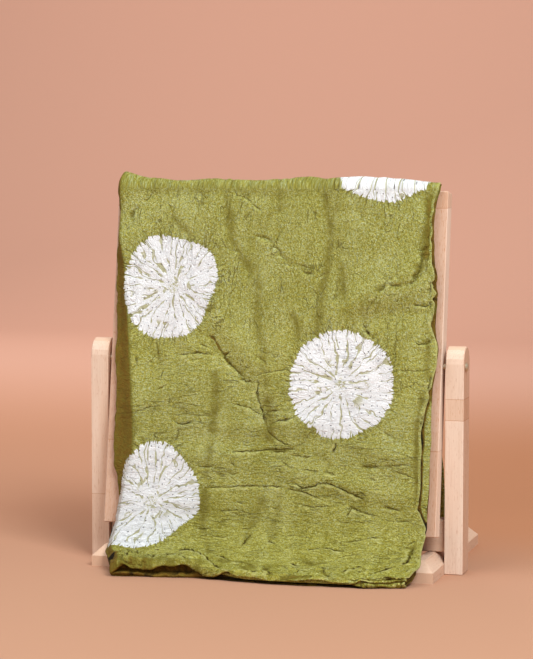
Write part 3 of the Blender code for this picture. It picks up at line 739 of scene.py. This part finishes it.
def along_guide(run, k, last):
    """Lengths along the guide; last is where the lower fold starts."""
    back, flat, front, face = (STARTS[name] for name in ("back_corner", "board_top", "front_corner", "face"))
    stops = (back, (back + flat) / 2, flat, front, (2 * front + face) / 3, (front + 2 * face) / 3, face)
    return np.select(
        [run == "back", run == "top", run == "front", run == "bend"],
        [k * back, np.interp(k, np.linspace(0, 1, len(stops)), stops),
         face + (STARTS["bend"] - face) * k, STARTS["bend"] + (last - STARTS["bend"]) * k],
        default=last)


def layer_outline(row_down, lift):
    """How far across the crease, the fold and the selvedge of each layer lie, where the
    outermost layer's selvedge is, and how far that one is nicked, in millimetres."""
    crease, fold, right, stagger = (np.interp(row_down, *softened(OUTLINE, column, OUTLINE_SOFT))
                                    for column in (CREASE, FOLD, RIGHT, STAGGER))
    stepped = stagger * np.clip(STAGGER_STEP * (1 - lift), 0, 1)
    right = right + stepped - 1.5 * (stagger > 0) * (lift < 0.5)
    edge = right - stepped
    nicked = sum(depth * np.exp(-((row_down - at) / half) ** 2) for at, half, depth in NICKS)
    # the selvedge and the fold run unevenly, each layer in its own way
    right = right - nicked * smooth(lift * 3 - 1.6)
    right = right + 1.2 * bumps(row_down / 17, np.round(lift * 3) * 7.3, 3.1)
    fold = fold + 1.4 * bumps(row_down / 15, 0.5, 8.4) + 1.1 * bumps(row_down / 5, 0.5, 2.4)
    return crease, fold, right, edge, nicked


def drawn_under(across, high, swing, wave, stands_out):
    """How far the roll at the lower fold is drawn in under the foremost edge, and into the
    grooves at its right end, in millimetres. stands_out: 1 where its lower part comes out."""
    edge_high = np.interp(across, GAP[:, 0], GAP[:, 2]) + 0.9 * wave
    drawn_in = (np.interp(across, GAP[:, 0], GAP[:, 1]) * smooth((edge_high - high) / 0.8)
                * (1 - 0.9 * stands_out))
    ragged = smooth((across - 94) / 14) * smooth((152 - across) / 10)
    for turn, slope in RAGGED:
        groove = (swing - turn + slope * (across - 115)) / RAGGED_WIDE
        drawn_in = drawn_in + RAGGED_DEEP * ragged * np.exp(-groove ** 2)
    return drawn_in


def front_relief(u, v, tie, row_down):
    """The fine relief of the layer that shows, in millimetres, and what tucks() and furrows()
    say. Round each roundel the cloth is pleated, and near the lower fold it is bunched."""
    relief, offset, tuck_shade, nearest = tucks(u, v)
    furrow = furrows(u, v)
    crinkle = 0.55 * rough(u, v, 15, 1.7) + 0.4 * rough(u, v * 1.6, 7, 5.3)
    x, y, number = tie.T
    radius = np.hypot(x, y) + 0.01
    ray = bumps(x / radius * 3.6, y / radius * 3.6, number * 5 + radius * 0.012)
    pleat = 1.1 * ray * smooth(radius / 14) * smooth((74 - radius) / 26)
    bunched = ((2.8 * rough(u * 0.2, v, 7.5, 3.3) + 1.3 * rough(u * 0.4, v, 3.6, 6.6))
               * smooth((row_down - 335) / 50))
    return relief + crinkle + pleat + bunched - 0.7 * furrow, furrow, offset, tuck_shade, nearest


def roll_shade(drawn_in, lip, lower, fluted):
    """Shade on the roll: under the foremost edge, and on the lip's lower part."""
    return np.maximum(np.clip(drawn_in / 4, 0, 1 - 0.2 * lip), (0.72 + 0.35 * fluted) * lip * lower)


def layer_shade(across, down, edge, nicked):
    """Shade on the inner layers, close to the outermost selvedge."""
    low = down > LOW_DOWN
    wave = bumps(down / 11, 1.5, 7.7)
    even = 0.8 * np.exp(-((down - 97) / 3.5) ** 2)
    deep = np.where(low, 0.85, 0.5 + 0.12 * np.clip(nicked, 0, 3)) + 0.4 * wave * (1 - even)
    slit = np.where(low, 1.8 + 1.2 * wave, 3.6)
    return deep * smooth((edge + slit + 0.6 - across) / 1.2)


def hang(i, j):
    """Where the sheet's grid places go when it is folded and hung: their places, their places on
    the flat cloth, how near the closest tuck is, and what the finish reads there."""
    u_number, u = section_of(U_SECTIONS, i)
    v_number, v = section_of(V_SECTIONS, j)
    part = np.array([name for name, _ in U_SECTIONS])[u_number]
    stretch = np.array([name for name, _ in V_SECTIONS])[v_number]
    inner = np.char.endswith(stretch, "_in")
    run = np.char.replace(stretch, "_in", "")
    turning = run == "turn"
    half_turn = np.select([part == "turn", part == "under"], [math.pi * u, math.pi], 0.0)
    side = np.cos(half_turn)
    k = np.where(inner, 1 - v, v)
    swing = np.select([turning, inner], [math.pi / 2 - math.pi * v, -math.pi / 2], math.pi / 2)
    reach = LAYER + side * LAYER / 2
    above = MID_LAYER + reach * np.sin(swing)
    lift = (above - SHEET / 2) / (3 * LAYER)
    row_down = (along_guide(run, k, STARTS["floor"]) - STARTS["face"]) / MM
    crease, fold, right, edge, nicked = layer_outline(row_down, lift)
    half_gap = LAYER / 2 / MM
    tuck = fold + half_gap
    across = np.select(
        [part == "over", part == "strip", part == "turn", part == "under"],
        [right + (crease - right) * u, crease + (tuck - crease) * u,
         tuck - half_gap * np.sin(half_turn), tuck + (right - tuck) * u * (2 - u)])

    # the lower fold: its uneven end, its lip at the left, and the roll under the foremost edge
    short = np.interp(across, *softened(LOWER_FOLD, 1, 6))
    lip = np.exp(-((across - LIP_LEFT) / LIP_REACH) ** 4)
    wave = bumps(across / 19, 2.2, 0.7)
    last = STARTS["floor"] - (short + 1.6 * wave + 6 * lip * (1 - side)) * MM
    gape = LIP_RISE * lip * smooth((row_down - 350) / 45)
    high = above / MM + gape * lift
    lower = smooth((3.6 - high + wave) / 0.8)
    drawn_in = drawn_under(across, high, swing, wave, lip * lower) * (1 + side) / 2
    at = np.where(turning, last + reach * np.cos(swing) - drawn_in * MM, along_guide(run, k, last))
    down = (at - STARTS["face"]) / MM

    # what the flat cloth's pattern goes by: millimetres across and along it
    last_down = (last - STARTS["face"]) / MM
    flat_u = np.select([part == "turn", part == "under"],
                       [tuck - half_gap * half_turn, 2 * tuck - math.pi * half_gap - across], across)
    flat_v = np.select([turning, inner],
                       [last_down + reach / MM * (math.pi / 2 - swing),
                        2 * last_down + math.pi * reach / MM - down], down)

    # the layer that shows has its fine relief
    shows = (side > 0.5) & ~inner
    seen = np.flatnonzero(shows)
    fine, furrow, tuck_shade = np.zeros((3, len(across)))
    offset = np.full(across.shape, FAR_OFFSET)
    nearest = np.full(across.shape, FAR)
    tie = nearest_roundel(flat_u[seen], flat_v[seen])
    fine[seen], furrow[seen], offset[seen], tuck_shade[seen], nearest[seen] = front_relief(
        flat_u[seen], flat_v[seen], tie, row_down[seen])

    # the layers' distance from the board
    near = np.exp(-((across - crease) / CREASE_REACH) ** 2)
    past = smooth((crease - across) / (crease - fold))
    pressed = TOP_PRESS * np.exp(-((down - TOP_AT) / TOP_REACH) ** 2)
    spread = (1 + CREASE_SWELL * near * (1 - past) - FOLD_PINCH * past) * (1 - pressed)
    settled = smooth(down / SETTLE) * smooth((FACE_LONG - down) / SETTLE)
    rolled = CREASE_ROLL * np.exp(-((across - crease) / CREASE_ROLL_REACH) ** 2) * (1 - past) * settled
    rise = (fold_rise(across, down) + gape + rolled) * lift + fine
    clear = (FACE_CLEAR - EDGE_CLEAR) * settled
    out = SHEET / 2 + (above - SHEET / 2) * spread + rise * MM + clear
    y_at, z_at, heading = guide(at)
    away = heading - math.pi / 2
    places = np.stack((across * MM, y_at + np.cos(away) * out, z_at + np.sin(away) * out), 1)
    # nothing sinks into the floor
    places[:, 2] = np.maximum(places[:, 2], SHEET / 2 + 0.0001)

    # painted shade: past the crease, in the roll, the patch and the furrows, and on the inner layers,
    # where little light gets in, and just below the top edge
    fluted = bumps(across / 5, 6.2, 0.7)
    over_lip = lip * smooth((flat_v - last_down + 7 + 4 * wave) / 1.5) * (0.85 + 0.6 * fluted)
    pocket = np.exp(-((flat_u - POCKET[0]) / POCKET[2]) ** 2 - ((flat_v - POCKET[1]) / POCKET[3]) ** 2)
    furrowed = 0.19 * np.clip(furrow, 0, 2.4) * (1 + 0.5 * smooth((down - 345) / 30))
    covered = (lift < 0.9) & (part != "strip") & ~turning & (down > -16)
    shade = 0.5 * smooth((crease - across) / 1.6 + 0.5) * (1 + side) / 2
    for shaded, dark in (
            (turning, roll_shade(drawn_in, lip, lower, fluted)),
            (shows & (part == "over"), 0.38 * over_lip),
            (True, 1.4 * pocket),
            (True, furrowed),
            (shows & ~turning, 0.2 * smooth((13 - down) / 12)),
            (covered, layer_shade(across, down, edge, nicked)),
            (covered & (lift < 0.5), 0.7)):
        shade = np.maximum(shade, np.where(shaded, dark, 0))
    # below 0 it gets a painted highlight: on the tucks' lips, and along the selvedge's rim, where its edge
    # catches the light
    lips = 0.8 * tuck_shade * np.exp(-0.7 * (offset - 2.3) ** 2)
    shade = np.where(shade < 0.15, shade - lips, shade)
    rim = shows & (part == "over") & (down > -5)
    shade = np.where(rim, shade - 0.9 * smooth((across - right + 2.2) / 1.6), shade)
    nearest = np.where(pocket > 0.05, 0, nearest)
    return places, np.stack((flat_u, flat_v), 1) * MM, nearest, np.stack((offset, tuck_shade, shade), 1)


def cloth_mesh():
    """A flat grid, cut finer where it shows and finer still along its creases, then hung."""
    columns = sum(count for _, count in U_SECTIONS)
    rows = sum(count for _, count in V_SECTIONS)
    starts = np.concatenate(((0,), np.cumsum([count for _, count in V_SECTIONS])))
    row = {name: start for (name, _), start in zip(V_SECTIONS, starts)}
    last_column = sum(count for _, count in U_SECTIONS[:3])
    shape = bmesh.new()
    bmesh.ops.create_grid(shape, x_segments=columns, y_segments=rows, size=0.5)
    for point in shape.verts:
        point.co = ((point.co.x + 0.5) * columns, (point.co.y + 0.5) * rows, 0)

    def middles():
        return np.array([face.calc_center_median()[:2] for face in shape.faces]).T

    def cut(chosen):
        edges = {edge for face, cuts in zip(shape.faces, chosen) if cuts for edge in face.edges}
        bmesh.ops.subdivide_edges(shape, edges=list(edges), cuts=1, use_grid_fill=True)

    for _ in range(2):
        x, y = middles()
        on_front = (x < last_column) & (y > row["top"]) & (y < row["bend_in"])
        near_selvedge = (x > columns - 3) & (y > row["front"]) & (y < row["turn"])
        cut(on_front | near_selvedge)
    x, y = middles()
    cut((x < last_column) & (y < row["top"] - 0.5))
    cut(hang(*middles())[2] < TUCK_CUT)

    flat = np.array([point.co[:2] for point in shape.verts])
    places, sheet_uv, _, crease = hang(*flat.T)
    for point, place in zip(shape.verts, places):
        point.co = place
    mesh = bpy.data.meshes.new("cloth")
    shape.to_mesh(mesh)
    shape.free()
    corners = np.empty(len(mesh.loops), int)
    mesh.loops.foreach_get("vertex_index", corners)
    # a face goes by one roundel only, the one that is nearest to its first corner
    first = np.repeat([face.loop_start for face in mesh.polygons],
                      [face.loop_total for face in mesh.polygons])
    number = nearest_roundel(*(sheet_uv[corners[first]] / MM).T)[:, 2].astype(int)
    tie = nearest_roundel(*(sheet_uv[corners] / MM).T, number)
    mesh.attributes.new("tie", "FLOAT_VECTOR", "CORNER").data.foreach_set("vector", tie.ravel())
    mesh.attributes.new("crease", "FLOAT_VECTOR", "POINT").data.foreach_set("vector", crease.ravel())
    mesh.uv_layers.new(name="flat").data.foreach_set("uv", sheet_uv[corners].ravel())
    mesh.shade_smooth()
    return mesh


cloth = bpy.data.objects.new("bandhani_cloth", cloth_mesh())
bpy.context.scene.collection.objects.link(cloth)
wall = cloth.modifiers.new("Sheet", "SOLIDIFY")
wall.thickness = SHEET
wall.offset = 0


# ---- Cloth: its dye and weave ----
# Olive green over white. The weave is fine and slubby, and the crinkle breaks the light into
# small flecks, which are painted into the colour as light and shade besides their bumps. Along
# the creases the colour is darkened with painted shade.
GREEN = (173, 168, 84)
# the pale and the deep green also carry the crinkle's painted highlight and painted shade
GREEN_PALE = (198, 197, 132)
GREEN_DEEP = (138, 131, 47)
# a painted highlight on the tucks' lips and the selvedge's rim
GREEN_RIM_HIGHLIGHT = (198, 192, 120)
# the crease colour: painted shade in the tucks and small creases, and the darker pleats outside the rims
GREEN_DARK = (74, 58, 16)
# painted shade, light: in the furrows and wherever the shade is slight
GREEN_FURROW_SHADE = (124, 113, 38)
GREEN_SHADED = (128, 97, 32)
# painted shade, the deepest: under the foremost edge, in the patch and on the inner layers
GREEN_BLACK = (34, 28, 12)
GREEN_VEIN = (178, 171, 106)
UNDYED = (254, 252, 252)
UNDYED_SHADE = (236, 230, 228)
NEEDLE = (92, 84, 86)
# what the green is multiplied by
GREYER_SHEEN = (0.93, 1.01, 1.42, 1)
BROWNER = (1.06, 0.985, 0.66, 1)

finish, shader, start = new_finish("tie-dyed crinkled cloth", 0.72)
flat = start.node("UVMap", {"uv_map": "flat"}).scaled(1 / MM)
across, down, _ = flat.parts()
x, y, which = start.node("Attribute", {"attribute_name": "tie"}, out="Vector").parts()
off, tuck_shade, shade = start.node("Attribute", {"attribute_name": "crease"}, out="Vector").parts()

# crinkle: it runs along the cloth near the top of the fall and across it further down
turned = (down + flat.grain(0.02, 1.0) * 160 - 80).ease(110, 210)
low = down.ease(250, 370)
lengthwise = start.vector(across * 1.05, down * 0.72).grain(0.5, 4.0, 0.8, 0.8)
crosswise = start.vector(across * 0.65, down * 1.15).grain(0.5, 4.0, 0.8, 0.8)
crinkle = lengthwise + (crosswise - lengthwise) * turned
threads = flat.grain(0.8, 2.0, 0.8, 0.5)
# small creases, winding lines close together, and a few that are longer and darker; their
# dark valleys and light ridges are painted shade and painted highlight as well as bumps
winding = (start.vector(across * 0.15, down * 0.085, 4.0).grain(1.0, 3.0, 0.6, 0.9) * (1 - turned)
           + start.vector(across * 0.075, down * 0.16, 9.0).grain(1.0, 3.0, 0.6, 0.9) * turned)
valley = winding.away(0.5).ease(0.05, 0.0)
ridge = winding.away(0.56).ease(0.05, 0.0)
wide_lines = (start.vector(across * 0.1, down * 0.03, 14.0).grain(1.0, 2.0, 0.5, 0.4) * (1 - turned)
              + start.vector(across * 0.026, down * 0.13, 19.0).grain(1.0, 2.0, 0.5, 0.4) * turned)
creased = flat.grain(0.03, 2.0).ease(0.47, 0.6)
small = wide_lines.away(0.5).ease(0.02, 0.004) * creased
lips = wide_lines.away(0.53).ease(0.02, 0.006) * creased
patches = flat.grain(0.022, 3.0, 0.55, 0.4)
bands = start.vector(across * 0.06, down * 0.015, 2.0).grain(1.0, 2.0)
# the crinkle's and the threads' flecks and the lines' ridges and valleys are painted light and shade in the
# tone, partly the weave's own unevenness
tone = ((crinkle - 0.5) * 5.2 + (threads - 0.5) * 4.6 + (patches - 0.5) * 0.8
        + (bands - 0.5) * 1.2 + lips * 0.3 + (ridge - valley) * 0.3 - low * valley * 0.3)
green = tone.ease(-0.9, 0.1).tint(colour(*GREEN_DEEP), colour(*GREEN))
green = tone.ease(0.0, 0.95).tint(green, colour(*GREEN_PALE))
# the dye shifts a little from spot to spot, its greyer spots also a painted sheen of the threads' gloss, and
# it is browner low down
spots = start.vector(across * 0.5, down * 0.5, 5.0).grain(1.0, 3.0, 0.75)
hue = (spots.ease(0.36, 0.64) + low * 0.35).tint(GREYER_SHEEN, BROWNER)
green = start.node("VectorMath", {"operation": "MULTIPLY"}, {0: green, 1: hue})

# roundels: white, with the dye drawn in along the pleats from the rim and from the knot
radius = (x * x + y * y).math("SQRT") + 0.01
ray_x, ray_y = x / radius, y / radius
turn = y.math("ARCTAN2", x) / (2 * math.pi)
stray = start.vector(ray_x * 2.6, ray_y * 2.6, which * 4 + radius * 0.045).grain(1.0, 2.0, 0.6) - 0.5


def veins(count, first, last, wide, seed):
    """Lines of dye along the pleats. first, last: the least radius, and how much more at most,
    at which they begin and end."""
    phase = turn * count + stray * 2.2 + seed
    number = phase.math("FLOOR").math("FLOORED_MODULO", count)
    begins = start.vector(number, which, seed).chance() * first[1] + first[0]
    ends = start.vector(number, which, seed + 1).chance() * last[1] + last[0]
    swells = start.vector(number * 3.7, which * 2.3 + seed, radius * 0.13).grain(1.0, 1.0)
    apart = phase.math("FRACT").away(0.5) * radius * (2 * math.pi / count)
    half = swells.ease(0.32, 0.66) * wide + 0.12
    return (apart / half).ease(1.25, 0.45) * radius.ease(begins, begins + 4) * radius.ease(ends + 3, ends)


vein = veins(19, (5, 16), (22, 52), 0.9, 0.0)
vein = vein.math("MAXIMUM", veins(31, (20, 22), (46, 20), 0.65, 7.0) * 0.9)
notch = veins(61, (40, 6), (50, 6), 0.75, 3.0)
lobes = start.vector(ray_x * 1.5, ray_y * 1.5, which * 2 + 9).grain(1.0, 1.0) - 0.5
teeth = start.vector(ray_x * 13, ray_y * 13, which).grain(1.0, 2.0, 0.7) - 0.5
inside = 49 + lobes * 11 + teeth * 7 - vein * 2.0 - notch * 2.2 - radius
white = inside.ease(-0.5, 0.7)
knot = flat.grain(0.5, 2.0, 0.6, 0.6).ease(0.48, 0.58) * radius.ease(8.0, 3.0)
holes = start.node("TexVoronoi", {"voronoi_dimensions": "2D"},
                   {"Vector": start.vector(x, y), "Scale": 0.125, "Randomness": 0.7})
hole = holes.ease(0.09, 0.05) * inside.ease(1.0, 3.0)
undyed = (tone.ease(0.1, -1.1) * 0.6).tint(colour(*UNDYED), colour(*UNDYED_SHADE))
blots = start.vector(x * 0.09, y * 0.09, which * 7).grain(1.0, 3.0, 0.6, 0.5).ease(0.59, 0.63)
stained = vein.math("MAXIMUM", knot).math("MAXIMUM", blots * radius.ease(30, 20) * 0.9)
undyed = (stained * 0.8).tint(undyed, colour(*GREEN_VEIN))
undyed = (hole * 0.85).tint(undyed, colour(*NEEDLE))
dyed = white.tint(green, undyed)

# creases: painted shade in the placed tucks and the small creases, the darker pleats outside each rim, a
# painted highlight on the lips and the selvedge's rim, and painted shade on what lies in the shade
pleats = notch.math("MAXIMUM", vein) * radius.ease(64, 50)
bent = off + (start.vector(across * 0.32, down * 0.32, 3.0).grain(1.0, 2.0) - 0.5) * 3.4
broken = start.vector(across * 0.12, down * 0.12, 6.0).grain(1.0, 2.0, 0.6).ease(0.36, 0.54)
tuck = (bent * bent * -1.9).math("EXPONENT") * tuck_shade * (broken * 0.45 + 0.55)
dark = (tuck * 0.95).math("MAXIMUM", (small * 0.4 + pleats * 0.3) * (1 - white))
dyed = dark.tint(dyed, colour(*GREEN_DARK))
dyed = (shade.ease(-0.05, -0.9) * 0.8 * (1 - white)).tint(dyed, colour(*GREEN_RIM_HIGHLIGHT))
mottled = (start.vector(across, down, 8.0).grain(0.22, 3.0, 0.7) - 0.5) * 1.5 + 0.95
shade = ((shade.ease(0.42, 0.3) * 0.6 + 0.4) * (mottled - 1) + 1) * shade
dyed = (shade.ease(0.0, 0.42) * (0.95 - white * 0.75)).tint(dyed, colour(*GREEN_FURROW_SHADE))
dyed = (shade.ease(0.36, 0.56) * (0.95 - white * 0.75)).tint(dyed, colour(*GREEN_SHADED))
shade.ease(0.6, 1.0).tint(dyed, colour(*GREEN_BLACK)).feed(shader, "Base Color")

height = (crinkle * 1.9 + threads * 0.9 - tuck * 1.2 - small * 0.7 + lips * 0.35
          + (ridge - valley) * (0.22 + 0.12 * low)
          - (vein + notch) * radius.ease(66, 50) * 0.6 - hole * 0.4)
bump = start.node("Bump", (), {"Strength": 1.0, "Distance": 1.3 * MM, "Height": height})
bump.feed(shader, "Normal")
shader.inputs["Specular IOR Level"].default_value = 0.15
cloth.data.materials.append(finish)

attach(cloth, "root")
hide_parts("cloth")


# ---- Studio ----
# A plain paper sweep, warmer behind the stand, where it is lighter on the left, painted light
# that evens out the stand's shadow, and darker on the right; a large soft light from the right,
# weak ones from the left, above and behind, one for the paper's far end, and a pale surround.
SWEEP_FLOOR = (184, 136, 109)
SWEEP_BEHIND = (195, 140, 110)
SWEEP_BEHIND_RIGHT = (181, 123, 89)
SWEEP_WALL = (200, 153, 132)
SWEEP_FRONT = -4.0
SWEEP_BACK = 2.4
SWEEP_RADIUS = 1.2
SWEEP_STEPS = 24
SWEEP_HIGH = 4.0
SWEEP_HALF_WIDE = 5.0
SURROUND = (0.95, 0.95, 0.94, 1)
SURROUND_STRENGTH = 0.42
STAND_MIDDLE = (0, -0.04, 0.18)

profile = [(SWEEP_FRONT, 0.0), (SWEEP_BACK, 0.0)]
for n in range(1, SWEEP_STEPS + 1):
    angle = math.pi / 2 * n / SWEEP_STEPS
    profile.append((SWEEP_BACK + SWEEP_RADIUS * math.sin(angle), SWEEP_RADIUS * (1 - math.cos(angle))))
profile.append((SWEEP_BACK + SWEEP_RADIUS, SWEEP_HIGH))
sweep_mesh = bpy.data.meshes.new("sweep")
points = [(x, y, z) for y, z in profile for x in (-SWEEP_HALF_WIDE, SWEEP_HALF_WIDE)]
faces = [(2 * n, 2 * n + 1, 2 * n + 3, 2 * n + 2) for n in range(len(profile) - 1)]
sweep_mesh.from_pydata(points, [], faces)
sweep_mesh.shade_smooth()
sweep = bpy.data.objects.new("sweep", sweep_mesh)
bpy.context.scene.collection.objects.link(sweep)
paper, shader, start = new_finish("pale paper", 0.9)
x, y, _ = start.node("TexCoord", out="Object").parts()
# painted light: lighter to the left behind the stand, where the stand's shadow falls
behind = x.ease(-0.45, 0.15).tint(colour(*SWEEP_BEHIND), colour(*SWEEP_BEHIND_RIGHT))
floor = y.ease(-0.08, 0.25).tint(colour(*SWEEP_FLOOR), behind)
y.ease(0.7, 1.9).tint(floor, colour(*SWEEP_WALL)).feed(shader, "Base Color")
shader.inputs["Specular IOR Level"].default_value = 0.1
sweep_mesh.materials.append(paper)

world = bpy.data.worlds.new("surround")
bpy.context.scene.world = world
world.use_nodes = True
background = world.node_tree.nodes["Background"]
background.inputs["Color"].default_value = SURROUND
background.inputs["Strength"].default_value = SURROUND_STRENGTH

for name, place, aim, size, power, tone in (
        # name, place, what it points at, width and height, watts, colour
        ("key", (1.2, -1.35, 1.85), STAND_MIDDLE, (1.1, 0.9), 64, (0.86, 0.96, 1.0)),
        ("fill", (-1.3, -2.2, 1.3), STAND_MIDDLE, (1.6, 1.6), 14, (0.9, 0.97, 1.0)),
        ("top", (-0.3, -0.5, 1.9), STAND_MIDDLE, (1.0, 0.8), 12, (0.9, 0.97, 1.0)),
        ("back", (-1.3, 2.2, 1.5), STAND_MIDDLE, (1.4, 1.2), 10, (1.0, 0.98, 0.95)),
        ("backdrop", (-0.9, 1.1, 2.0), (-0.9, 3.4, 1.2), (1.8, 0.8), 45, (1.0, 1.0, 1.0))):
    light = bpy.data.lights.new(name, "AREA")
    light.shape = "RECTANGLE"
    light.size, light.size_y = size
    light.energy = power
    light.color = tone
    lamp = bpy.data.objects.new(name, light)
    lamp.location = place
    lamp.rotation_euler = (Vector(aim) - Vector(place)).to_track_quat("-Z", "Y").to_euler()
    bpy.context.scene.collection.objects.link(lamp)

# the camera, where the perspective of the stand's edges puts it
view = bpy.data.cameras.new("camera")
view.sensor_width = 36
view.lens = 125.7
view.clip_start = 0.05
camera = bpy.data.objects.new("camera", view)
camera.location = (0.6004, -2.1395, 0.4114)
camera.rotation_euler = (math.radians(90 - 4.7987), 0, math.radians(16.1014))
bpy.context.scene.collection.objects.link(camera)
bpy.context.scene.camera = camera
bpy.context.scene.view_settings.view_transform = "Standard"
